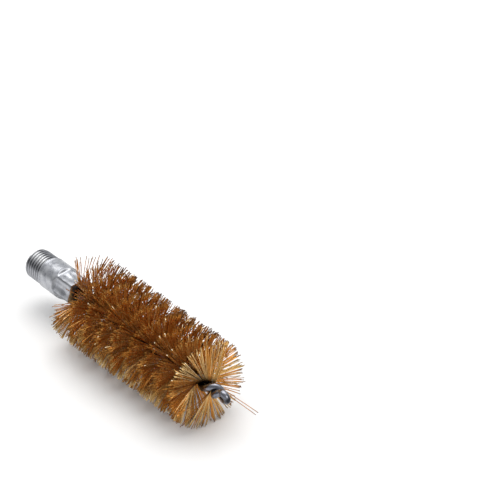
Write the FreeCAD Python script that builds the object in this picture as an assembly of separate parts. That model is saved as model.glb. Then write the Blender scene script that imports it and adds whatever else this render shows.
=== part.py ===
"""Twisted-wire bore brush with a threaded coupling, for a cleaning rod.

The brush lies on its bristles. +X runs along its axis from the threaded coupling to the tip loop, +Z is up,
and the origin is on the floor, below the middle of the whole length. Stations are distances along the axis
from the coupling's threaded end. All sizes are in millimetres.
"""
import FreeCAD
import Part
import math
import os

# Threaded coupling: 5/16 inch, 27 threads per inch, the shotgun size of cleaning rods, with cut-back crests
THREAD_R = 3.9
THREAD_PITCH = 25.4 / 27
THREAD_DEPTH = 0.52
THREAD_CREST = 0.16
THREAD_LENGTH = 6.0
THREAD_CHAMFER = 0.35
SHANK_R = 4.07
CRIMP_START = 12.3
COUPLING_LENGTH = 18.8
COUPLING_EDGE = 0.25
BORE_R = 1.83
BORE_BOTTOM = 6.8
DRILL_POINT = 0.9

# Six jaws press the coupling on to the core
CRIMP_FACES = 6
CRIMP_FACE_R = 3.57
CRIMP_SHOULDER = 0.35
CRIMP_TURN = 41.0

# Core: one steel wire, folded at the tip loop, its two legs twisted left-handed.
# The bristles hold the twist open; past them it is tighter, and it dies out at the loop.
CORE_WIRE_R = 0.84
CORE_OFFSET = 0.94
TWIST_PITCH = 10.85
TIGHT_PITCH = 5.76
TWIST_START = BORE_BOTTOM + 0.3
TIGHTENS_AT = 68.6
TWIST_CHANGE = 1.2
TWIST_END_ANGLE = 105.0
TIP_STEPS = 8
EYE_STEPS = 6
LOOP_R = 1.05
TIP_STATION = 75.3
TWIST_END = TIP_STATION - CORE_WIRE_R - LOOP_R

# Bristles: straight bronze wires, each pinched at its middle between the two legs
BRISTLE_R = 0.085
BRUSH_R = 10.5
AXIS_HEIGHT = 10.2
BRISTLES_PER_RIDGE = 27
FIRST_BRISTLE = 18.95
LAST_BRISTLE = 69.4

# Two bristles that have slipped forward along the core, past the loop
STRAY_START = 69.8
STRAY_END = 82.6
STRAY_R = 1.95
STRAY_ANGLES = {"stray_bristle_upper": 358.0, "stray_bristle_lower": 337.0}

OVERALL_LENGTH = STRAY_END
OVERCUT = 1.0


def axis_point(station):
    """The point on the brush's axis at this station."""
    return FreeCAD.Vector(station - OVERALL_LENGTH / 2, 0, AXIS_HEIGHT)


def across(angle):
    """The unit vector square to the axis at this angle, in degrees from +Y towards +Z."""
    return FreeCAD.Vector(0, math.cos(math.radians(angle)), math.sin(math.radians(angle)))


def place(station, radius, angle):
    """The point at this station, radius and angle."""
    return axis_point(station) + across(angle) * radius


def turned_by_ramp(distance):
    """How far a twist rate that grows evenly from 0 to 1 over TWIST_CHANGE has turned at this distance."""
    on_ramp = min(max(distance, 0), TWIST_CHANGE)
    return on_ramp ** 2 / TWIST_CHANGE / 2 + max(distance - TWIST_CHANGE, 0)


def core_angle(station):
    """The angle of the core's first leg. Left-handed, so it falls towards the tip."""
    open_rate = 360 / TWIST_PITCH
    tight_rate = 360 / TIGHT_PITCH
    before_end = TWIST_END - station
    before_tight = TIGHTENS_AT + TWIST_CHANGE - station
    turned = tight_rate * turned_by_ramp(before_end) - (tight_rate - open_rate) * turned_by_ramp(before_tight)
    return TWIST_END_ANGLE + turned


def revolved(outline):
    """The solid of revolution of a closed outline of (station, radius) points."""
    points = [place(station, radius, 90) for station, radius in outline]
    face = Part.Face(Part.makePolygon(points + points[:1]))
    return face.revolve(axis_point(0), FreeCAD.Vector(1, 0, 0), 360)


def thread_outline():
    """The crests and roots of the thread, as parallel grooves, from the chamfer to the shank."""
    grooves = int((THREAD_LENGTH - THREAD_CHAMFER) / THREAD_PITCH)
    half_mouth = (THREAD_PITCH - THREAD_CREST) / 2
    outline = []
    for groove in reversed(range(grooves)):
        root = THREAD_LENGTH - THREAD_PITCH * (groove + 0.5)
        outline += [
            (root - half_mouth, THREAD_R),
            (root, THREAD_R - THREAD_DEPTH),
            (root + half_mouth, THREAD_R),
        ]
    return outline


def crimp_face(angle):
    """The block that one jaw presses away, with a sloping shoulder at its start."""
    deep = CRIMP_FACE_R
    high = SHANK_R + OVERCUT
    side = across(angle + 90)
    corners = [
        (CRIMP_START, high),
        (CRIMP_START, SHANK_R),
        (CRIMP_START + CRIMP_SHOULDER, deep),
        (COUPLING_LENGTH + OVERCUT, deep),
        (COUPLING_LENGTH + OVERCUT, high),
    ]
    points = [place(station, radius, angle) - side * SHANK_R for station, radius in corners]
    return Part.Face(Part.makePolygon(points + points[:1])).extrude(side * 2 * SHANK_R)


def coupling():
    """The aluminium coupling: threaded stud, plain shank, crimped sleeve and blind bore."""
    body = revolved([
        (0, 0),
        (0, THREAD_R - THREAD_CHAMFER),
        (THREAD_CHAMFER, THREAD_R),
        *thread_outline(),
        (THREAD_LENGTH, THREAD_R),
        (THREAD_LENGTH + (SHANK_R - THREAD_R), SHANK_R),
        (COUPLING_LENGTH - COUPLING_EDGE, SHANK_R),
        (COUPLING_LENGTH, SHANK_R - COUPLING_EDGE),
        (COUPLING_LENGTH, 0),
    ])
    bore = revolved([
        (BORE_BOTTOM - DRILL_POINT, 0),
        (BORE_BOTTOM, BORE_R),
        (COUPLING_LENGTH + OVERCUT, BORE_R),
        (COUPLING_LENGTH + OVERCUT, 0),
    ])
    faces = [crimp_face(CRIMP_TURN + 360 / CRIMP_FACES * jaw) for jaw in range(CRIMP_FACES)]
    return body.cut(bore).cut(Part.makeCompound(faces))


def core_leg(turn):
    """The path of one leg as a left-handed helix, from the bore to where the twist tightens."""
    length = TIGHTENS_AT - TWIST_START
    helix = Part.makeHelix(TWIST_PITCH, length, CORE_OFFSET, 0, True)
    upright = FreeCAD.Rotation(FreeCAD.Vector(0, 1, 0), 90)
    # The helix starts on its own X axis, which that rotation turns to -Z, at 270 degrees
    spin = FreeCAD.Rotation(FreeCAD.Vector(1, 0, 0), core_angle(TWIST_START) + turn - 270)
    helix.Placement = FreeCAD.Placement(axis_point(TWIST_START), spin * upright)
    return helix


def core_direction(station, turn):
    """The direction of a leg at this station of the open twist."""
    rise = 2 * math.pi * CORE_OFFSET / TWIST_PITCH
    return FreeCAD.Vector(1, 0, 0) + across(core_angle(station) + turn - 90) * rise


def eye_point(turn):
    """A point of the round of the eye, from one leg at 0 degrees, over the tip, to the other at 180."""
    centre = axis_point(TWIST_END)
    side = across(TWIST_END_ANGLE) * LOOP_R * math.cos(math.radians(turn))
    return centre + side + FreeCAD.Vector(LOOP_R * math.sin(math.radians(turn)), 0, 0)


def tip_path():
    """The tight twist and the eye at the tip, from one leg round to the other."""
    step = (TWIST_END - TIGHTENS_AT) / TIP_STEPS
    stations = [TIGHTENS_AT + step * number for number in range(TIP_STEPS)]
    out = [place(station, CORE_OFFSET, core_angle(station)) for station in stations]
    back = [place(station, CORE_OFFSET, core_angle(station) + 180) for station in reversed(stations)]
    eye = [eye_point(180 / EYE_STEPS * number) for number in range(EYE_STEPS + 1)]
    curve = Part.BSplineCurve()
    curve.interpolate(Points=out + eye + back)
    return curve.toShape()


def core_wire():
    """The folded and twisted core wire."""
    first = core_leg(0)
    second = core_leg(180)
    path = Part.Wire(first.Edges + [tip_path()] + second.Edges)
    start = place(TWIST_START, CORE_OFFSET, core_angle(TWIST_START))
    section = Part.Wire(Part.makeCircle(CORE_WIRE_R, start, core_direction(TWIST_START, 0)))
    return path.makePipeShell([section], True, False)


def bristle_reach(angle):
    """The length of a bristle from the axis to its tip: those that meet the floor end on it."""
    down = -across(angle).z
    if down <= 0:
        return BRUSH_R
    to_floor = (AXIS_HEIGHT - BRISTLE_R * math.sqrt(1 - down * down)) / down
    return min(BRUSH_R, to_floor)


def bristle(station):
    """One straight bristle wire, at right angles to the gap between the legs."""
    angle = core_angle(station) + 90
    start = place(station, bristle_reach(angle + 180), angle + 180)
    length = bristle_reach(angle) + bristle_reach(angle + 180)
    return Part.makeCylinder(BRISTLE_R, length, start, across(angle))


def bristle_ridges():
    """The bristles of each half turn of the twist, which make one ridge of the brush."""
    spacing = TWIST_PITCH / 2 / BRISTLES_PER_RIDGE
    count = int((LAST_BRISTLE - FIRST_BRISTLE) / spacing) + 1
    wires = [bristle(FIRST_BRISTLE + spacing * number) for number in range(count)]
    return [wires[first:first + BRISTLES_PER_RIDGE] for first in range(0, count, BRISTLES_PER_RIDGE)]


def stray_bristle(angle):
    """A bristle that lies along the core and stands out past the loop."""
    start = place(STRAY_START, STRAY_R, angle)
    return Part.makeCylinder(BRISTLE_R, STRAY_END - STRAY_START, start, FreeCAD.Vector(1, 0, 0))


def write(node, shape):
    """Write one node's solids to its own file."""
    shape.exportStep("parts/" + node + ".step")


os.makedirs("parts", exist_ok=True)
write("coupling", coupling())
write("core_wire", core_wire())
for number, ridge in enumerate(bristle_ridges(), start=1):
    write(f"bristle_ridge_{number:02d}", Part.makeCompound(ridge))
for node, angle in STRAY_ANGLES.items():
    write(node, stray_bristle(angle))
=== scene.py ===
"""Looks of the bore brush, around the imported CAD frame.

Metres, in the frame of the CAD: the brush lies on the floor along X, its threaded coupling at -X and its
eye at +X. Sizes and places with a name are in millimetres, unless it is said otherwise. Stations are
distances along the axis from the coupling's threaded end. Angles are in degrees and go round the axis from
+Y towards +Z.
"""

import math

import bpy
import numpy as np
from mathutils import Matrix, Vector


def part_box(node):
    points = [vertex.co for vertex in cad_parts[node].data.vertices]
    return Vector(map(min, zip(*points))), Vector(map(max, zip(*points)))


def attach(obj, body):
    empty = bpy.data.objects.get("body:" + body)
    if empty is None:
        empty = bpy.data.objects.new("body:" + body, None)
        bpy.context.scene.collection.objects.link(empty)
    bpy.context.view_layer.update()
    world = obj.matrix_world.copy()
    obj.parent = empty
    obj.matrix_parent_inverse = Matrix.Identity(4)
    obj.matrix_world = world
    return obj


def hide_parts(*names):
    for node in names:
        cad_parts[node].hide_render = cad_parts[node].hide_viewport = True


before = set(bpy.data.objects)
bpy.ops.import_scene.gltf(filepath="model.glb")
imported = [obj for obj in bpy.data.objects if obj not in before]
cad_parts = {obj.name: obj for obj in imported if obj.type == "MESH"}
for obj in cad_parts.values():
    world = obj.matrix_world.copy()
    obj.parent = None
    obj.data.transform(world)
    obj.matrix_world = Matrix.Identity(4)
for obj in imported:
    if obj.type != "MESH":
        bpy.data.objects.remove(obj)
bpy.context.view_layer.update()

MM = 0.001
SEED = 27
X, Y, Z = range(3)

# Camera: its angles in degrees, its distance and aim in metres, its lens and sensor in millimetres
CAMERA_AZIMUTH = 50.6
CAMERA_ELEVATION = 29.98
CAMERA_DISTANCE = 0.350
CAMERA_AIM = (0.01239, 0.02352, 0.02925)
CAMERA_LENS = 111.6
SENSOR = 36.0

# Light: a world that is brightest in one direction and fades from its heart to its edge, which are cosines
# of the angle from that direction, and two lamps. The lamps' distance and the floor's reach are in metres.
TENT_AZIMUTH = 238
TENT_ELEVATION = 50
TENT_EDGE = 0.30
TENT_HEART = 0.98
TENT_DARK = 0.42
TENT_BRIGHT = 0.88
TENT_COLOUR = (0.98, 0.99, 1.0)
LAMP_DISTANCE = 0.80
LAMP_COLOUR = (1.0, 0.99, 0.97)
FLOOR_REACH = 3.0


def span(node, axis):
    """The lowest and highest place of a CAD node along one axis, in millimetres."""
    low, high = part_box(node)
    return low[axis] / MM, high[axis] / MM


threaded_end, crimped_end = span("coupling", X)
shank_bottom, shank_top = span("coupling", Z)
near_tips, far_tips = span("bristle_ridge_01", Y)
foremost = span("stray_bristle_upper", X)[1]

# Sizes of the CAD model that its frame gives, to a hundredth of a millimetre
LENGTH = round(foremost - threaded_end, 2)
COUPLING_LENGTH = round(crimped_end - threaded_end, 2)
SHANK_R = round((shank_top - shank_bottom) / 2, 2)
AXIS_HEIGHT = round((shank_top + shank_bottom) / 2, 2)
BRUSH_R = round((far_tips - near_tips) / 2, 2)

# The other sizes of the CAD model. TWIST_END is where its legs meet its eye.
THREAD_R = 3.9
THREAD_PITCH = 25.4 / 27
THREAD_DEPTH = 0.52
THREAD_CREST = 0.16
THREAD_LENGTH = 6.0
THREAD_CHAMFER = 0.35
CRIMP_START = 12.3
CRIMP_FACES = 6
CRIMP_TURN = 41.0
BORE_R = 1.83
CORE_R = 0.84
CORE_OFFSET = 0.94
TWIST_PITCH = 10.85
TIGHT_PITCH = 5.76
TIGHTENS_AT = 68.6
TWIST_CHANGE = 1.2
TWIST_END = 73.41
TWIST_END_ANGLE = 105.0
TIP_STATION = 75.3
BRISTLE_R = 0.085
RIDGES = 10
RIDGE_LENGTH = TWIST_PITCH / 2
FIRST_BRISTLE = 18.95
LAST_BRISTLE = 69.4

# Coupling: rows of rings of vertices as (first station, last station, rings)
COUPLING_SIDES = 216
COUPLING_ROWS = ((0.0, 6.4, 128), (6.47, 12.0, 56), (12.08, COUPLING_LENGTH - 0.14, 72))
ROOT_FLAT = 0.03
ROOT_ROUNDING = 0.08
RUN_OUT = 0.7
RUN_OUT_END = THREAD_LENGTH + 0.15
CHAMFER_SLOPE = 0.9
SHANK_RISE = 0.22
WOBBLE = 0.02
FINE_WOBBLE = 0.012

# Nicks and tool marks: how many, and the limits of their station, half length, half width, slant in radians
# and depth
MARKS = 70
MARK_STATION = (6.6, 18.3)
MARK_HALF_LENGTH = (0.10, 0.55)
MARK_HALF_WIDTH = (0.06, 0.22)
MARK_SLANT = (-0.9, 0.9)
MARK_DEPTH = (0.015, 0.055)

# Turned lines next to the thread, as (station, half width, depth)
TURNED_LINES = ((6.75, 0.10, 0.10), (7.15, 0.07, 0.06))

# Crimp: its faces are a little deeper than in the CAD, and hollow
FACE_ANGLE = 360 / CRIMP_FACES
CRIMP_FACE_R = 3.55
FACE_R_CHANGE = 0.05
CRIMP_START_CHANGE = 0.25
CRIMP_SHOULDER = 0.95
CRIMP_RIPPLE = 0.025
CORNER_ROUNDING = 0.10
HOLLOW = 0.20
HOLLOW_CHANGE = 0.12
HOLLOW_MIDDLE = 15.9

# Grime and painted shade of the coupling, where 1 is almost black: for a full groove of the thread, for each
# millimetre of the depth of marks and lines, and at its darkest for the others. In the grooves, marks and
# lines it is grime and painted shade of the recess, round the crimped faces painted shade, and in the
# thread's dark bands painted reflection
GROOVE_GRIME_AND_SHADE = 1.15
MARK_GRIME_AND_SHADE = 6
LINE_GRIME_AND_SHADE = 3
FACE_SHADE = 0.25
CORNER_SHADE = 0.55
SHOULDER_SHADE = 0.35
REFLECTION_BAND_DARKNESS = 0.40

# Parts of the thread's round, as (middle, width to either side): a painted highlight, and two dark bands of
# painted reflection
HIGHLIGHT_BAND = (112, 40)
DARK_REFLECTION_BANDS = ((84, 16), (147, 22))

# Core: rows of points as (first station, last station, points)
CORE_SIDES = 28
CORE_ROWS = ((15.5, 66.0, 260), (66.2, TWIST_END, 120))
EYE_POINTS = 40
LOOP_R = 1.02
LEGS_CLOSE = 0.09
CLOSING = 1.2
OPENING = 0.9
# painted shade near the axis, in the grooves between the legs: where it starts and how it fades
DARK_FROM_AXIS = 1.25
DARK_FADE = 0.8

# Bristles: lean is how far a tip lies in front of its root, swing is how far it is turned about the axis
WIRES_PER_RIDGE = 190
WIRE_POINTS = 7
WIRE_SIDES = 6
TUFT_SIZE = 5
FORWARD_LEAN = 1.1
LOW_LEAN = 0.5
SWEPT_LEAN = 2.2
LAYER_SPREAD = 1.6
TUFT_LAYER = 0.65
WIRE_LAYER = 0.45
TUFT_LEAN = 0.16
WIRE_LEAN = 0.20
TUFT_SWING = 2.0
WIRE_SWING = 1.4
FRAYED_SWING = 1.4
LOOSE_LEAN = 1.3
LOOSE_SWING = 14
MOST_BEND = 0.9
SWING_BEND = 0.6
REAR_LONGER = 0.5
REAR_LONGER_TO = 58
REAR_LONGER_OVER = 36
REACH_CHANGE = 0.16
SHORTER = 0.35
FRONT_RIM = 67.8
RIM_CHANGE = 0.35
FRONT_THIN_FROM = 66.3
FRONT_LIT_FROM = 63.5
FRONT_LIT_OVER = 3.0
OPEN_ROOTS_FROM = 64.5
REAR_THIN_TO = FIRST_BRISTLE + 5.0
REAR_SWEPT_TO = FIRST_BRISTLE + 7.0
FLOOR_GAP = 0.02

# The share of the bristles that are short, point anywhere, are missing from a part, or have a painted
# glint on the cut end
SHORT_SHARE = 0.08
LOOSE_SHARE = 0.04
REAR_MISSING = 0.72
SWEPT_MISSING = 0.25
FRONT_MISSING = 0.30
GLINT_SHARE = 0.035

# Tone of the bristles, from 0 for dark to 1 for pale: where it starts, what differs from tuft to tuft and
# from wire to wire, the painted light that makes the front and the low side paler, the painted shade that
# makes the upper side and the lower front darker, its limits, and the tone of cut ends with a painted glint
BODY_SHADE = 0.42
TUFT_SHADE = 0.18
WIRE_SHADE = 0.12
FRONT_TUFT_SHADE = 0.46
LIT_TUFT_SHADE = 0.80
FRONT_PAINTED_SHADE = 0.48
SIDE_PAINTED_SHADE = 0.52
SHADE_LIMITS = (0.02, 0.88)
GLINT_SHADE = 1.0

# Parts of the bristles' round, as (middle, width to either side)
LOW_SIDE = (221, 120)
FRAYED_SIDE = (131, 45)
THIN_SIDE = (70, 95)
SWEPT_SIDE = (140, 60)
# painted light on the low side, painted shade on the upper side and on the lower part of the front
LIT_SIDE = (226, 62)
SHADED_SIDE = (36, 55)
SHADED_FRONT = (195, 80)

# A dark gap between bristles that are pushed apart
GAP_STATION = 47.8
GAP_ANGLE = 134
GAP_HALF_LENGTH = 1.5
GAP_HALF_WIDTH = 0.75
GAP_PUSH = 0.8

# The two bristles that have slipped forward. STRAY_R is their wire's radius, STRAY_OFFSET is from the axis.
STRAY_POINTS = 14
STRAY_SIDES = 8
STRAY_START = 68.5
STRAY_R = 0.075
STRAY_OFFSET = 1.75
STRAY_BOW = 0.35
STRAY_SHADE = 0.30


# ---------------------------------------------------------------- geometry


def place(station, radius, angle):
    """Points in metres from stations and radii in millimetres and angles in degrees."""
    station, radius, angle = np.broadcast_arrays(station, radius, np.radians(angle))
    points = [station - LENGTH / 2, radius * np.cos(angle), AXIS_HEIGHT + radius * np.sin(angle)]
    return np.stack(points, -1) * MM


def ramp(distance):
    """How far a twist rate that grows evenly from 0 to 1 over TWIST_CHANGE has turned at this distance."""
    on_ramp = np.clip(distance, 0, TWIST_CHANGE)
    return on_ramp**2 / TWIST_CHANGE / 2 + np.maximum(distance - TWIST_CHANGE, 0)


def core_angle(station):
    """The angle of the core's first leg. Left-handed, so it falls towards the tip."""
    open_rate = 360 / TWIST_PITCH
    tight_rate = 360 / TIGHT_PITCH
    turned = tight_rate * ramp(TWIST_END - station)
    turned = turned - (tight_rate - open_rate) * ramp(TIGHTENS_AT + TWIST_CHANGE - station)
    return TWIST_END_ANGLE + turned


def smooth_step(x):
    """0 below 0 and 1 above 1, with a smooth rise between them."""
    x = np.clip(x, 0, 1)
    return x * x * (3 - 2 * x)


def soft_min(a, b, width):
    """The smaller of a and b, rounded over where they cross."""
    share = np.clip(0.5 + 0.5 * (b - a) / width, 0, 1)
    return b * (1 - share) + a * share - width * share * (1 - share)


def mound(x, middle, half_width):
    """1 at the middle, falling away to either side like a bell."""
    return np.exp(-(((x - middle) / half_width) ** 2))


def turned_from(angle, middle):
    """How far an angle is from the middle, from -180 to 180 degrees."""
    return (angle - middle + 180) % 360 - 180


def towards(angle, middle, width):
    """1 where an angle is at the middle, falling to 0 at the width to either side."""
    return smooth_step(1 - np.abs(turned_from(angle, middle)) / width)


def unit(vectors):
    """The vectors at length 1."""
    return vectors / np.linalg.norm(vectors, axis=-1, keepdims=True)


def rows(parts):
    """Evenly spaced stations, from rows of (first, last, how many)."""
    return np.concatenate([np.linspace(*part) for part in parts])


def make_object(name, vertices, faces, flat_faces, attributes):
    """A mesh object, smooth but for its flat faces, with an attribute of its points for each name."""
    mesh = bpy.data.meshes.new(name)
    mesh.from_pydata(vertices.tolist(), [], faces)
    smooth = np.ones(len(faces), bool)
    smooth[list(flat_faces)] = False
    mesh.polygons.foreach_set("use_smooth", smooth)
    for key, values in attributes.items():
        attribute = mesh.attributes.new(key, "FLOAT", "POINT")
        attribute.data.foreach_set("value", np.asarray(values, np.float32))
    mesh.validate()
    mesh.update()
    obj = bpy.data.objects.new(name, mesh)
    bpy.context.scene.collection.objects.link(obj)
    return obj


def finish_piece(obj, slot, material, *nodes):
    """Gives a piece its material and body, and hides the CAD nodes that it replaces. The slot is not used.
    """
    obj.data.materials.clear()
    obj.data.materials.append(material)
    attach(obj, "root")
    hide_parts(*nodes)


def ring_vertices(centres, normal, binormal, radius, sides):
    """The vertices of round tubes: a ring of them about each centre."""
    turn = np.linspace(0, 2 * np.pi, sides, endpoint=False)[:, None]
    ring = normal[..., None, :] * np.cos(turn) + binormal[..., None, :] * np.sin(turn)
    return (centres[..., None, :] + ring * radius).reshape(-1, 3)


def tube_faces(first, points, sides):
    """The faces of one closed tube whose vertices start at number first. The last two close its ends."""
    faces = []
    for point in range(points - 1):
        low = first + point * sides
        for side in range(sides):
            right = (side + 1) % sides
            faces.append((low + side, low + right, low + sides + right, low + sides + side))
    faces.append(tuple(first + side for side in reversed(range(sides))))
    faces.append(tuple(first + (points - 1) * sides + side for side in range(sides)))
    return faces


def tubes(paths, radius, sides, reference):
    """Closed round tubes along many paths of the same number of points, none of them along the reference.
    Returns vertices, faces, and the numbers of the faces that close the ends."""
    wires, points, _ = paths.shape
    tangent = unit(np.gradient(paths, axis=1))
    normal = unit(np.cross(tangent, reference))
    vertices = ring_vertices(paths, normal, np.cross(tangent, normal), radius, sides)
    faces = []
    ends = []
    for wire in range(wires):
        faces += tube_faces(wire * points * sides, points, sides)
        ends += [len(faces) - 2, len(faces) - 1]
    return vertices, faces, ends


# --------------------------------------------------------------- materials


class Nodes:
    """A material's node tree, with short ways to add to it."""

    def __init__(self, name):
        self.material = bpy.data.materials.new(name)
        self.material.use_nodes = True
        self.tree = self.material.node_tree
        self.tree.nodes.clear()
        self.shader = self.add("ShaderNodeBsdfPrincipled")
        output = self.add("ShaderNodeOutputMaterial")
        self.link(self.shader.outputs["BSDF"], output.inputs["Surface"])

    def add(self, kind, **settings):
        """A new node with these settings."""
        node = self.tree.nodes.new(kind)
        for key, value in settings.items():
            setattr(node, key, value)
        return node

    def link(self, source, target):
        """Joins an output to an input."""
        self.tree.links.new(source, target)

    def feed(self, socket, value):
        """Gives an input a number, a colour or another node's output."""
        if isinstance(value, tuple):
            socket.default_value = (*value, 1)
        elif isinstance(value, (int, float)):
            socket.default_value = value
        else:
            self.link(value, socket)

    def position(self, scale):
        """Object coordinates, stretched by the three scales, per metre."""
        coordinates = self.add("ShaderNodeTexCoord")
        mapping = self.add("ShaderNodeMapping")
        mapping.inputs["Scale"].default_value = scale
        self.link(coordinates.outputs["Object"], mapping.inputs["Vector"])
        return mapping.outputs["Vector"]

    def attribute(self, name):
        """The attribute of the mesh's points with this name."""
        return self.add("ShaderNodeAttribute", attribute_name=name).outputs["Fac"]

    def combine(self, x, y, z):
        """A vector of three values."""
        node = self.add("ShaderNodeCombineXYZ")
        for socket, value in zip(node.inputs, (x, y, z)):
            self.feed(socket, value)
        return node.outputs["Vector"]

    def noise(self, vector, scale, detail=3, roughness=0.55):
        """Cloudy noise, about 0.5 on average."""
        node = self.add("ShaderNodeTexNoise")
        node.inputs["Scale"].default_value = scale
        node.inputs["Detail"].default_value = detail
        node.inputs["Roughness"].default_value = roughness
        self.link(vector, node.inputs["Vector"])
        return node.outputs["Fac"]

    def math(self, operation, a, b, clamp=False):
        """The sum or the product of two values."""
        node = self.add("ShaderNodeMath", operation=operation, use_clamp=clamp)
        for socket, value in zip(node.inputs, (a, b)):
            self.feed(socket, value)
        return node.outputs["Value"]

    def spread(self, value, low, high, to_low, to_high):
        """value from low..high to to_low..to_high, clamped."""
        node = self.add("ShaderNodeMapRange", clamp=True)
        for socket, number in zip(list(node.inputs)[1:5], (low, high, to_low, to_high)):
            socket.default_value = number
        self.link(value, node.inputs["Value"])
        return node.outputs["Result"]

    def ramp(self, value, *stops):
        """A colour for each value, from stops of (position, colour)."""
        node = self.add("ShaderNodeValToRGB")
        elements = node.color_ramp.elements
        while len(elements) < len(stops):
            elements.new(0.5)
        for element, (position, colour) in zip(elements, stops):
            element.position = position
            element.color = (*colour, 1)
        self.link(value, node.inputs["Fac"])
        return node.outputs["Color"]

    def mix(self, factor, a, b, blend="MIX"):
        """Colour a where the factor is 0, and b over it or multiplied with it where the factor is 1."""
        node = self.add("ShaderNodeMix", data_type="RGBA", blend_type=blend)
        colours = [socket for socket in node.inputs if socket.type == "RGBA"]
        self.feed(node.inputs["Factor"], factor)
        self.feed(colours[0], a)
        self.feed(colours[1], b)
        return [socket for socket in node.outputs if socket.type == "RGBA"][0]

    def bump(self, height, strength, distance, under=None):
        """A bumpy normal, on top of another one if it is given."""
        node = self.add("ShaderNodeBump")
        node.inputs["Strength"].default_value = strength
        node.inputs["Distance"].default_value = distance
        self.link(height, node.inputs["Height"])
        if under is not None:
            self.link(under, node.inputs["Normal"])
        return node.outputs["Normal"]

    def put(self, **sockets):
        """Sets the shader's sockets, named with _ for a space."""
        for key, value in sockets.items():
            self.feed(self.shader.inputs[key.replace("_", " ")], value)


# Scales of patterns: per metre in X, Y and Z, and for the die lines per millimetre along the core wire and
# per half turn round it
PER_MM = (1000, 1000, 1000)
LATHE_RINGS = (9000, 120, 120)
LONG_SCRATCHES = (500, 5200, 5200)
DIE_LINES_ALONG = 0.25
DIE_LINES_AROUND = 9.0

DULL_ALUMINIUM = (0.34, 0.35, 0.38)
ALUMINIUM = (0.46, 0.47, 0.50)
CLEAN_ALUMINIUM = (0.58, 0.59, 0.61)
HIGHLIGHT_ALUMINIUM = (0.86, 0.87, 0.89)
SPECKS = (0.24, 0.25, 0.28)
GRIME_AND_SHADE_BLACK = (0.035, 0.035, 0.04)

DARK_STEEL = (0.10, 0.105, 0.13)
STEEL = (0.20, 0.205, 0.24)
PALE_STEEL = (0.34, 0.345, 0.39)
DIE_LINE = (0.55, 0.56, 0.60)
BROWN_FLECK = (0.10, 0.055, 0.03)
STEEL_SHADE = (0.012, 0.012, 0.014)

# The bronze wires' tones by their shade, which holds their own differences and painted light and shade
BRONZE_TONES = (
    (0.0, (0.14, 0.06, 0.018)),
    (0.25, (0.52, 0.205, 0.036)),
    (0.50, (0.76, 0.345, 0.072)),
    (0.80, (0.60, 0.375, 0.13)),
    (1.0, (0.90, 0.68, 0.36)),
)
TARNISH = (0.70, 0.62, 0.50)
TIP_SHADE = (0.26, 0.21, 0.16)
PAINTED_GLINT = (0.97, 0.84, 0.62)
ROOT_SHADE = (0.45, 0.40, 0.35)
BRONZE_ROOT_SHADOW = (0.02, 0.015, 0.012)


def aluminium():
    """Bright turned aluminium: lathe rings, scratches, a painted highlight, and darkening where the mesh
    says.
    """
    n = Nodes("turned_aluminium")
    place_mm = n.position(PER_MM)
    rings = n.noise(n.position(LATHE_RINGS), 1.0, 2)
    cloud = n.noise(place_mm, 0.55, 4)
    specks = n.noise(place_mm, 5.0, 3, 0.7)
    scratches = n.noise(n.position(LONG_SCRATCHES), 1.0, 2, 0.5)
    grime_and_shade = n.attribute("grime_and_shade")
    clean = n.ramp(cloud, (0.3, DULL_ALUMINIUM), (0.55, ALUMINIUM), (0.75, CLEAN_ALUMINIUM))
    # painted highlight: a bright band on one side of the thread, from the mesh
    bright = n.mix(n.spread(n.attribute("painted_highlight"), 0.0, 1.0, 0.0, 0.9), clean, HIGHLIGHT_ALUMINIUM)
    speckled = n.mix(n.spread(specks, 0.55, 0.72, 0.0, 0.35), bright, SPECKS)
    # grime and painted shade from the mesh, up to nearly black
    colour = n.mix(n.spread(grime_and_shade, 0.0, 1.0, 0.0, 0.92), speckled, GRIME_AND_SHADE_BLACK)
    rough = n.math("ADD", n.spread(cloud, 0.3, 0.7, 0.20, 0.34), n.spread(specks, 0.45, 0.75, 0.0, 0.14))
    rough = n.math("ADD", rough, n.spread(grime_and_shade, 0.0, 1.0, 0.0, 0.25), clamp=True)
    normal = n.bump(rings, 0.30, 0.03 * MM)
    normal = n.bump(scratches, 0.25, 0.02 * MM, normal)
    normal = n.bump(cloud, 0.5, 0.1 * MM, normal)
    n.put(Base_Color=colour, Metallic=1.0, Roughness=rough, Normal=normal)
    return n.material


def steel():
    """Dark drawn steel wire: die lines along the wire, a film of oil, brown flecks, and painted shade,
    nearly black, in the grooves between its legs and where the bristles cover it.
    """
    n = Nodes("drawn_steel")
    along = n.math("MULTIPLY", n.attribute("along"), DIE_LINES_ALONG)
    around = n.math("MULTIPLY", n.attribute("around"), DIE_LINES_AROUND)
    die_lines = n.noise(n.combine(along, around, 0.0), 1.0, 3)
    film = n.noise(n.position(PER_MM), 0.9, 4)
    flecks = n.noise(n.position(PER_MM), 4.5, 3, 0.7)
    base = n.ramp(film, (0.30, DARK_STEEL), (0.55, STEEL), (0.75, PALE_STEEL))
    lined = n.mix(n.spread(die_lines, 0.45, 0.7, 0.0, 0.4), base, DIE_LINE)
    colour = n.mix(n.spread(flecks, 0.62, 0.75, 0.0, 0.5), lined, BROWN_FLECK)
    # painted shade, nearly black, where the mesh says
    shaded = n.mix(n.spread(n.attribute("groove"), 0.0, 1.0, 0.0, 0.95), colour, STEEL_SHADE)
    rough = n.math("ADD", n.spread(film, 0.3, 0.7, 0.15, 0.26), n.spread(flecks, 0.5, 0.75, 0.0, 0.15))
    normal = n.bump(die_lines, 0.35, 0.03 * MM)
    n.put(Base_Color=shaded, Metallic=1.0, Roughness=rough, Normal=normal)
    return n.material


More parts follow.
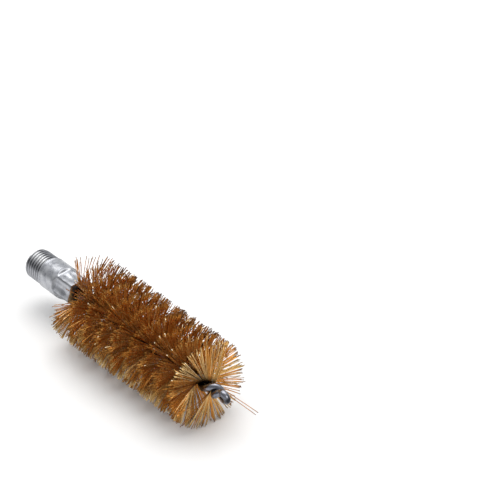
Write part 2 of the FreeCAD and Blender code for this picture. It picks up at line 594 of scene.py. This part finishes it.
def bronze():
    """Fine phosphor bronze wire, each with its own tone and with painted light and shade. Painted shadow
    makes it almost black at the root and darker towards it; painted shade darkens most cut ends, less on the
    palest wires, and a few of those have a painted glint there."""
    n = Nodes("bronze_wire")
    shade = n.attribute("shade")
    along = n.attribute("along")
    patches = n.noise(n.position(PER_MM), 0.35, 3)
    fine = n.noise(n.position(PER_MM), 2.2, 2)
    tone = n.ramp(shade, *BRONZE_TONES)
    worn = n.mix(n.spread(patches, 0.40, 0.65, 0.0, 0.40), tone, TARNISH, "MULTIPLY")
    # painted shade on most cut ends, less on the palest wires
    cut_end = n.spread(along, 0.88, 1.0, 0.0, 0.95)
    tip_shading = n.math("MULTIPLY", cut_end, n.spread(shade, 0.62, 0.80, 1.0, 0.15))
    tip_shaded = n.mix(tip_shading, worn, TIP_SHADE, "MULTIPLY")
    # painted glint: a near-white colour at the very ends of the palest wires
    very_end = n.spread(along, 0.96, 1.0, 0.0, 0.95)
    sparkling = n.math("MULTIPLY", very_end, n.spread(shade, 0.90, 0.95, 0.0, 1.0))
    lit = n.mix(sparkling, tip_shaded, PAINTED_GLINT)
    # painted shade deeper in the brush, and painted shadow, almost black, at the root
    deep = n.mix(n.spread(along, 0.0, 0.45, 0.40, 0.0), lit, ROOT_SHADE, "MULTIPLY")
    shaded = n.mix(n.spread(along, 0.08, 0.24, 0.92, 0.0), deep, BRONZE_ROOT_SHADOW)
    rough = n.math("ADD", n.spread(fine, 0.3, 0.7, 0.20, 0.34), n.spread(patches, 0.4, 0.7, 0.0, 0.10))
    normal = n.bump(fine, 0.15, 0.04 * MM)
    n.put(Base_Color=shaded, Metallic=1.0, Roughness=rough, Normal=normal)
    return n.material


def pale_floor():
    """Matt, nearly white card."""
    n = Nodes("pale_floor")
    card = n.noise(n.position((1, 1, 1)), 6.0, 2)
    colour = n.ramp(card, (0.0, (0.90, 0.90, 0.905)), (1.0, (0.93, 0.93, 0.93)))
    n.put(Base_Color=colour, Roughness=0.7, Specular_IOR_Level=0.2)
    return n.material


# ---------------------------------------------------------------- coupling


def thread_depth(station, angle):
    """Depth of the right-hand helical V at this place: 0 on the top of the thread."""
    turns = station / THREAD_PITCH - angle / 360
    from_root = np.abs((turns % 1) - 0.5) * THREAD_PITCH
    half_mouth = (THREAD_PITCH - THREAD_CREST) / 2
    depth = THREAD_DEPTH * (half_mouth - from_root) / half_mouth
    depth = soft_min(depth, np.full_like(depth, THREAD_DEPTH - ROOT_FLAT), ROOT_ROUNDING)
    fade = smooth_step((RUN_OUT_END - station) / RUN_OUT)
    return np.maximum(depth, 0) * fade


def from_face(angle):
    """How far an angle is from the middle of the nearest crimped face."""
    return (angle - CRIMP_TURN + FACE_ANGLE / 2) % FACE_ANGLE - FACE_ANGLE / 2


def crimp_radius(station, angle):
    """Six pressed faces with rounded corners, each slightly hollow, from a sloping shoulder."""
    off_middle = from_face(angle)
    face = np.round((angle - CRIMP_TURN) / FACE_ANGLE) % CRIMP_FACES
    # no two faces start at the same station or are equally deep
    wander = np.sin(face * 2.4 + 0.7)
    start = CRIMP_START + CRIMP_START_CHANGE * wander
    pressed = smooth_step((station - start + 0.2) / CRIMP_SHOULDER)
    depth = CRIMP_FACE_R + FACE_R_CHANGE * np.sin(face * 1.9)
    unpressed = SHANK_R + 0.03
    flat = unpressed - (unpressed - depth) * pressed
    hollow = HOLLOW + HOLLOW_CHANGE * np.cos((station - HOLLOW_MIDDLE) * 1.1)
    scoop = hollow * pressed * np.cos(np.radians(np.clip(off_middle * 3.6, -90, 90))) ** 2
    ripple = CRIMP_RIPPLE * pressed * np.sin((station - CRIMP_START) * 2.1 + wander * 2)
    radius = (flat - scoop - ripple) / np.cos(np.radians(off_middle))
    return soft_min(radius, np.full_like(radius, SHANK_R), CORNER_ROUNDING)


def shank_marks(station, angle):
    """Depth of the shallow nicks and tool marks on the shank and the crimp."""
    marks = np.zeros_like(station)
    local = np.random.RandomState(SEED + 1)
    for _ in range(MARKS):
        at = local.uniform(*MARK_STATION)
        turn = local.uniform(0, 360)
        half_length = local.uniform(*MARK_HALF_LENGTH)
        half_width = local.uniform(*MARK_HALF_WIDTH)
        slant = local.uniform(*MARK_SLANT)
        deepest = local.uniform(*MARK_DEPTH)
        across = turned_from(angle, turn) * math.pi / 180 * SHANK_R
        along = station - at
        lengthwise = along * math.cos(slant) + across * math.sin(slant)
        sideways = across * math.cos(slant) - along * math.sin(slant)
        marks += deepest * np.exp(-((lengthwise / half_length) ** 2) - (sideways / half_width) ** 2)
    return marks


def coupling_radius(station, angle, groove, lines, marks):
    """The outside of the coupling: thread, shank and crimp, not quite round."""
    threaded = np.minimum(THREAD_R - groove, THREAD_R - THREAD_CHAMFER + station * CHAMFER_SLOPE)
    shank = THREAD_R + (SHANK_R - THREAD_R) * smooth_step((station - THREAD_LENGTH) / SHANK_RISE)
    turn = np.radians(angle)
    wobble = WOBBLE * np.sin(turn * 2 + station * 0.7) + FINE_WOBBLE * np.sin(turn * 5 - station * 1.3)
    plain = shank - lines - wobble * smooth_step((station - 7) / 2) - marks
    crimped = crimp_radius(station, angle) - marks - wobble * 0.5
    radius = np.where(station < THREAD_LENGTH, threaded, plain)
    return np.where(station > CRIMP_START - 0.8, np.minimum(plain, crimped), radius)


def coupling_grime_and_shade(station, angle, groove, lines, marks):
    """Grime and painted shade in the thread's grooves, the turned lines and the marks, painted shade round
    the crimped faces, and painted reflection as dark bands on the thread.
    """
    pressed = smooth_step((station - CRIMP_START) / 1.2)
    off_middle = np.abs(from_face(angle))
    # grime and painted shade in the thread's grooves and in the marks, by their depth
    grime_and_shade = GROOVE_GRIME_AND_SHADE * groove / THREAD_DEPTH * (station < THREAD_LENGTH + 0.3) + marks * MARK_GRIME_AND_SHADE
    # painted shade in the hollow of each crimped face, along its rounded corners and at its shoulder
    grime_and_shade += FACE_SHADE * pressed * mound(off_middle, 13, 5)
    grime_and_shade += CORNER_SHADE * pressed * mound(off_middle, 29, 3.5)
    grime_and_shade += SHOULDER_SHADE * mound(station, CRIMP_START + 0.1, 0.35) * (off_middle < 22)
    # grime and painted shade in the turned lines
    grime_and_shade += lines * LINE_GRIME_AND_SHADE
    # painted reflection: two dark bands along the thread
    for dark_band in DARK_REFLECTION_BANDS:
        grime_and_shade += REFLECTION_BAND_DARKNESS * (station < THREAD_LENGTH) * towards(angle, *dark_band)
    return grime_and_shade


def face_rings(rings):
    """Stations, radii, darkening and painted highlight of the rings of an end face, from (station, radius,
    darkening). They have no painted highlight.
    """
    station, radius, grime_and_shade = (
        np.array([np.broadcast_to(value, COUPLING_SIDES) for value in values]) for values in zip(*rings)
    )
    return station, radius, grime_and_shade, np.zeros_like(grime_and_shade)


def lathe_faces(rings, sides):
    """The faces between rings about the axis. The last two close the ends."""
    faces = []
    for ring in range(rings - 1):
        low = ring * sides
        for side in range(sides):
            right = (side + 1) % sides
            faces.append((low + side, low + sides + side, low + sides + right, low + right))
    faces.append(tuple(range(sides)))
    faces.append(tuple((rings - 1) * sides + side for side in reversed(range(sides))))
    return faces


def coupling():
    """The coupling as one turned surface, from the threaded end face to the mouth of the bore."""
    angles = np.linspace(0, 360, COUPLING_SIDES, endpoint=False)
    station, angle = np.meshgrid(rows(COUPLING_ROWS), angles, indexing="ij")
    groove = thread_depth(station, angle)
    lines = sum(depth * mound(station, at, half_width) for at, half_width, depth in TURNED_LINES)
    marks = shank_marks(station, angle)
    radius = coupling_radius(station, angle, groove, lines, marks)
    grime_and_shade = coupling_grime_and_shade(station, angle, groove, lines, marks)
    # painted highlight on one side of the thread
    painted_highlight = smooth_step((THREAD_LENGTH + 0.4 - station) / 0.4) * towards(angle, *HIGHLIGHT_BAND)
    rim = radius[-1]
    # darkening of the end faces, as (station, radius, darkness): the threaded end is darker towards its
    # middle
    threaded_face = ((0.12, 0.35, 0.5), (0.02, 0.8, 0.2), (0.0, 2.0, 0.05), (0.0, 3.2, 0.05))
    # the bore's mouth darkens to nearly black inside it: painted shade
    bore_mouth = (
        (COUPLING_LENGTH - 0.05, rim - 0.09, 0.0),
        (COUPLING_LENGTH, rim - 0.22, 0.0),
        (COUPLING_LENGTH, (rim + BORE_R) / 2, 0.25),
        (COUPLING_LENGTH, BORE_R + 0.25, 0.5),
        (COUPLING_LENGTH - 0.25, BORE_R, 0.9),
        (COUPLING_LENGTH - 4.0, BORE_R, 1.0),
    )
    parts = [face_rings(threaded_face), (station, radius, grime_and_shade, painted_highlight), face_rings(bore_mouth)]
    stations, radii, darkening, highlit = (np.concatenate(values) for values in zip(*parts))
    vertices = place(stations, radii, angles).reshape(-1, 3)
    faces = lathe_faces(len(stations), COUPLING_SIDES)
    ends = [len(faces) - 2, len(faces) - 1]
    attributes = {"grime_and_shade": np.clip(darkening, 0, 1).ravel(), "painted_highlight": highlit.ravel()}
    return make_object("coupling_turned", vertices, faces, ends, attributes)


# -------------------------------------------------------------------- core


def core_leg(turn, stations):
    """One leg: on its helix between the bristles, closer to the axis past them, out again to the eye."""
    closing = smooth_step((stations - (LAST_BRISTLE + 0.1)) / CLOSING)
    opening = smooth_step((stations - TWIST_END + OPENING) / OPENING)
    offset = CORE_OFFSET - LEGS_CLOSE * closing
    offset = offset + (LOOP_R - CORE_OFFSET + LEGS_CLOSE) * opening
    return place(stations, offset, core_angle(stations) + turn)


def core_path():
    """The folded wire: out along one leg, round the eye and back along the other."""
    stations = rows(CORE_ROWS)
    out = core_leg(0, stations)
    back = core_leg(180, stations)[::-1]
    turn = np.radians(np.linspace(0, 180, EYE_POINTS + 2)[1:-1])
    middle = TIP_STATION - CORE_R - LOOP_R
    eye = place(middle + LOOP_R * np.sin(turn), LOOP_R * np.cos(turn), TWIST_END_ANGLE)
    return np.concatenate([out, eye, back])


def untwisted_normals(tangent):
    """Normals that are carried along a path without turning about it."""
    normal = np.cross(tangent[0], (0, 0, 1.0))
    normals = []
    for way in tangent:
        normal = unit(normal - way * (normal @ way))
        normals.append(normal)
    return np.array(normals)


def core():
    """The core wire, with the way travelled along it, and painted shade in the grooves between its legs and
    where the bristles cover it.
    """
    path = core_path()
    steps = np.linalg.norm(np.diff(path, axis=0), axis=1)
    travelled = np.concatenate([[0], np.cumsum(steps)]) / MM
    tangent = unit(np.gradient(path, axis=0))
    normal = untwisted_normals(tangent)
    vertices = ring_vertices(path, normal, np.cross(tangent, normal), CORE_R * MM, CORE_SIDES)
    faces = tube_faces(0, len(path), CORE_SIDES)
    # the way round is mirrored at half a turn, so that the pattern meets itself
    half_turns = np.linspace(0, 2, CORE_SIDES, endpoint=False)
    around = np.tile(np.abs(half_turns - 1), len(path))
    station = vertices[:, X] / MM + LENGTH / 2
    off_axis = np.hypot(vertices[:, Y], vertices[:, Z] - AXIS_HEIGHT * MM) / MM
    # painted shade where the bristles cover the core, and near the axis between the legs
    hidden = smooth_step((LAST_BRISTLE - 0.6 - station) / 1.2)
    groove = np.maximum(smooth_step((DARK_FROM_AXIS - off_axis) / DARK_FADE), 0.9 * hidden)
    attributes = {"along": np.repeat(travelled, CORE_SIDES), "around": around, "groove": groove}
    return make_object("core_twisted", vertices, faces, (len(faces) - 2, len(faces) - 1), attributes)


# ---------------------------------------------------------------- bristles


def pushed_apart(station, angle):
    """Tips moved away from the middle of the gap, the nearest ones the most."""
    along = station - GAP_STATION
    across = turned_from(angle, GAP_ANGLE) * math.pi / 180 * BRUSH_R
    distance = np.sqrt((along / GAP_HALF_LENGTH) ** 2 + (across / GAP_HALF_WIDTH) ** 2)
    push = np.where(distance < 1, (1 - distance) / np.maximum(distance, 0.15), 0) * GAP_PUSH
    return station + along * push * 0.5, angle + np.degrees(across * push / BRUSH_R)


def ridge_roots(ridge, local):
    """The stations where the wires of one ridge cross the core."""
    start = FIRST_BRISTLE + ridge * RIDGE_LENGTH
    numbers = np.arange(WIRES_PER_RIDGE) + local.uniform(0, 1, WIRES_PER_RIDGE)
    roots = start + RIDGE_LENGTH * numbers / WIRES_PER_RIDGE
    return roots[roots < LAST_BRISTLE]


def ridge_tufts(count, local):
    """The number of each wire's tuft. Neighbours in a tuft share part of their lean and their tone."""
    return np.floor(np.cumsum(local.uniform(0.6, 1.4, count)) / TUFT_SIZE).astype(int)


def lean_and_swing(roots, angle, tuft, local):
    """How far each tip lies in front of its root, and how far it is turned from the root's angle."""
    count = len(roots)
    tufts = tuft.max() + 1
    tuft_lean = local.normal(0, TUFT_LEAN, tufts)[tuft]
    tuft_swing = local.normal(0, TUFT_SWING, tufts)[tuft]
    layer = TUFT_LAYER * local.uniform(-1, 1, tufts)[tuft] + WIRE_LAYER * local.uniform(-1, 1, count)
    lean = FORWARD_LEAN + LOW_LEAN * towards(angle, *LOW_SIDE) + LAYER_SPREAD * layer
    lean = lean + tuft_lean + local.normal(0, WIRE_LEAN, count)
    wire_swing = WIRE_SWING + FRAYED_SWING * towards(angle, *FRAYED_SIDE)
    swing = tuft_swing + local.normal(0, 1, count) * wire_swing
    return lean, swing


def bristle_reach(roots, local):
    """The length from the axis to each tip: longer at the coupling's end, and a few short ones."""
    count = len(roots)
    reach = BRUSH_R + REAR_LONGER * smooth_step((REAR_LONGER_TO - roots) / REAR_LONGER_OVER)
    reach = reach + local.normal(0, REACH_CHANGE, count)
    return reach - SHORTER * (local.uniform(0, 1, count) < SHORT_SHARE)


def kept(roots, angle, swept, local):
    """Which wires are there: some are missing next to the coupling and from the front of the brush."""
    count = len(roots)
    thin_rear = (roots < REAR_THIN_TO) & (towards(angle, *THIN_SIDE) > 0)
    missing = thin_rear & (local.uniform(0, 1, count) < REAR_MISSING)
    missing |= local.uniform(0, 1, count) < SWEPT_MISSING * swept
    missing |= (roots > FRONT_THIN_FROM) & (local.uniform(0, 1, count) < FRONT_MISSING)
    return ~missing


def bristle_shade(roots, angle, tuft, local):
    """Each wire's tone: its own, which differs from tuft to tuft and wire to wire, with painted light that
    makes the front and the low side paler, with more difference between tufts, and painted shade that makes
    the upper side and the lower front darker.
    """
    count = len(roots)
    tone = local.uniform(0, 1, tuft.max() + 1)[tuft]
    shade = BODY_SHADE + TUFT_SHADE * tone + WIRE_SHADE * local.uniform(0, 1, count)
    front = smooth_step((roots - FRONT_LIT_FROM) / FRONT_LIT_OVER)
    # painted light on the front and the low side, painted shade on the lower front and the upper side
    shade += front * (FRONT_TUFT_SHADE * tone - 0.04)
    shade += (1 - front) * (LIT_TUFT_SHADE * tone - 0.16) * towards(angle, *LIT_SIDE)
    shade -= front * FRONT_PAINTED_SHADE * towards(angle, *SHADED_FRONT)
    shade -= (1 - front) * SIDE_PAINTED_SHADE * towards(angle, *SHADED_SIDE)
    # a few wires get a painted glint at their cut ends
    bright = local.uniform(0, 1, count) < GLINT_SHARE
    return np.where(bright, GLINT_SHADE, np.clip(shade, *SHADE_LIMITS))


def half_ridge(roots, tuft, side, local):
    """One half of each wire of a ridge: its root, angle, tip's station and angle, reach and shade."""
    count = len(roots)
    angle = core_angle(roots) + 90 + side
    lean, swing = lean_and_swing(roots, angle, tuft, local)
    reach = bristle_reach(roots, local)
    # the front rim is flat, like a trimmed disc
    lean = np.minimum(lean, FRONT_RIM - roots + local.normal(0, RIM_CHANGE, count))
    # some have worked loose and point anywhere
    loose = local.uniform(0, 1, count) < LOOSE_SHARE
    lean += loose * local.normal(0, LOOSE_LEAN, count)
    swing += loose * local.normal(0, LOOSE_SWING, count)
    # next to the coupling they are swept forward on one side
    swept = (roots < REAR_SWEPT_TO) * towards(angle, *SWEPT_SIDE)
    keep = kept(roots, angle, swept, local)
    shade = bristle_shade(roots, angle, tuft, local)
    tip_station, tip_angle = pushed_apart(roots + lean + SWEPT_LEAN * swept, angle + swing)
    return [values[keep] for values in (roots, angle, tip_station, tip_angle, reach, shade)]


def above_floor(paths):
    """The paths, with the points that would be below the floor lifted on to it and bent aside."""
    floor = (BRISTLE_R + FLOOR_GAP) * MM
    below = np.maximum(floor - paths[:, :, Z], 0)
    paths[:, :, Y] += np.sign(paths[:, :, Y]) * below * 0.9
    paths[:, :, Z] = np.maximum(paths[:, :, Z], floor)
    return paths


def ridge_paths(ridge):
    """The half wires of one ridge, as curved paths from the core out to their tips, and their shades."""
    local = np.random.RandomState(SEED + 100 + ridge)
    roots = ridge_roots(ridge, local)
    tuft = ridge_tufts(len(roots), local)
    halves = [half_ridge(roots, tuft, side, local) for side in (0, 180)]
    root, angle, tip_station, tip_angle, reach, shade = (np.concatenate(part) for part in zip(*halves))
    fraction = np.linspace(0, 1, WIRE_POINTS)[None, :]
    bend = 1.0 + local.uniform(0.0, MOST_BEND, len(root))[:, None]
    station = root[:, None] + (tip_station - root)[:, None] * fraction**bend
    way = angle[:, None] + (tip_angle - angle)[:, None] * fraction ** (bend * SWING_BEND)
    return above_floor(place(station, reach[:, None] * fraction, way)), shade


def bristles(ridge, material):
    """One ridge of the brush, with painted shadow at its roots where they can be seen."""
    paths, shade = ridge_paths(ridge)
    vertices, faces, ends = tubes(paths, BRISTLE_R * MM, WIRE_SIDES, (1.0, 0.0, 0.0))
    root_station = paths[:, 0, X] / MM + LENGTH / 2
    # roots that other wires hide start part way along, so they get less painted shadow
    from_root = np.where(root_station > OPEN_ROOTS_FROM, 0.0, 0.2)[:, None]
    along = from_root + (1 - from_root) * np.linspace(0, 1, WIRE_POINTS)
    attributes = {
        "along": np.repeat(along.ravel(), WIRE_SIDES),
        "shade": np.repeat(shade, WIRE_POINTS * WIRE_SIDES),
    }
    obj = make_object(f"bristles_{ridge + 1:02d}", vertices, faces, ends, attributes)
    finish_piece(obj, "bristles", material, f"bristle_ridge_{ridge + 1:02d}")


def stray(name, node, end, angle, end_angle, material):
    """A bristle that has slipped forward along the core and stands out past the eye, slightly bowed."""
    fraction = np.linspace(0, 1, STRAY_POINTS)
    station = STRAY_START + (end - STRAY_START) * fraction
    radius = STRAY_OFFSET + STRAY_BOW * np.sin(fraction * math.pi * 0.5)
    way = angle + (end_angle - angle) * fraction
    paths = place(station, radius, way)[None]
    vertices, faces, ends = tubes(paths, STRAY_R * MM, STRAY_SIDES, (0.0, 0.0, 1.0))
    along = np.repeat(0.35 + 0.65 * fraction, STRAY_SIDES)
    attributes = {"along": along, "shade": np.full(len(along), STRAY_SHADE)}
    obj = make_object(name, vertices, faces, ends, attributes)
    finish_piece(obj, "bristles", material, node)


# ------------------------------------------------------------ stage, camera


def direction(azimuth, elevation):
    """Unit vector from the object towards a viewer: azimuth 0 looks along +Y."""
    turn = math.radians(azimuth)
    rise = math.radians(elevation)
    return Vector((math.sin(turn) * math.cos(rise), -math.cos(turn) * math.cos(rise), math.sin(rise)))


def look_from(obj, way, aim, distance):
    """Puts a camera or a lamp at this distance from its aim, and turns it to face that."""
    obj.location = aim + way * distance
    obj.rotation_euler = way.to_track_quat("Z", "Y").to_euler()
    bpy.context.scene.collection.objects.link(obj)


def area_light(name, azimuth, elevation, size, power):
    """A square lamp that faces the brush, of this size in metres and power in watts."""
    data = bpy.data.lights.new(name, "AREA")
    data.shape = "SQUARE"
    data.size = size
    data.energy = power
    data.color = LAMP_COLOUR
    light = bpy.data.objects.new(name, data)
    look_from(light, direction(azimuth, elevation), Vector(), LAMP_DISTANCE)


def soft_box():
    """A white tent, brightest above and behind the brush on the coupling's side, darker elsewhere."""
    world = bpy.data.worlds.new("studio")
    world.use_nodes = True
    tree = world.node_tree
    background = tree.nodes["Background"]
    background.inputs["Color"].default_value = (*TENT_COLOUR, 1)
    way = tree.nodes.new("ShaderNodeTexCoord")
    facing = tree.nodes.new("ShaderNodeVectorMath")
    facing.operation = "DOT_PRODUCT"
    facing.inputs[1].default_value = direction(TENT_AZIMUTH, TENT_ELEVATION)
    level = tree.nodes.new("ShaderNodeMapRange")
    level.interpolation_type = "SMOOTHSTEP"
    for socket, number in zip(list(level.inputs)[1:5], (TENT_EDGE, TENT_HEART, TENT_DARK, TENT_BRIGHT)):
        socket.default_value = number
    tree.links.new(way.outputs["Generated"], facing.inputs[0])
    tree.links.new(facing.outputs["Value"], level.inputs["Value"])
    tree.links.new(level.outputs["Result"], background.inputs["Strength"])
    bpy.context.scene.world = world


def camera():
    """The camera, about four lengths of the brush away, with a long lens."""
    data = bpy.data.cameras.new("camera")
    data.sensor_width = SENSOR
    data.lens = CAMERA_LENS
    data.clip_start = 0.01
    obj = bpy.data.objects.new("camera", data)
    look_from(obj, direction(CAMERA_AZIMUTH, CAMERA_ELEVATION), Vector(CAMERA_AIM), CAMERA_DISTANCE)
    bpy.context.scene.camera = obj


def stage():
    """The floor, the world and the lamps."""
    mesh = bpy.data.meshes.new("floor")
    signs = ((-1, -1), (1, -1), (1, 1), (-1, 1))
    corners = [(x * FLOOR_REACH, y * FLOOR_REACH, 0) for x, y in signs]
    mesh.from_pydata(corners, [], [(0, 1, 2, 3)])
    floor = bpy.data.objects.new("floor", mesh)
    mesh.materials.append(pale_floor())
    bpy.context.scene.collection.objects.link(floor)
    soft_box()
    area_light("key", azimuth=236, elevation=75, size=0.85, power=5.2)
    area_light("side", azimuth=97, elevation=20, size=0.42, power=2.0)
    bpy.context.scene.view_settings.view_transform = "Standard"


camera()
stage()
bronze_wire = bronze()
finish_piece(coupling(), "coupling", aluminium(), "coupling")
finish_piece(core(), "core", steel(), "core_wire")
for ridge in range(RIDGES):
    bristles(ridge, bronze_wire)
stray("stray_upper", "stray_bristle_upper", 82.5, 352, 358, bronze_wire)
stray("stray_lower", "stray_bristle_lower", 81.9, 338, 336, bronze_wire)
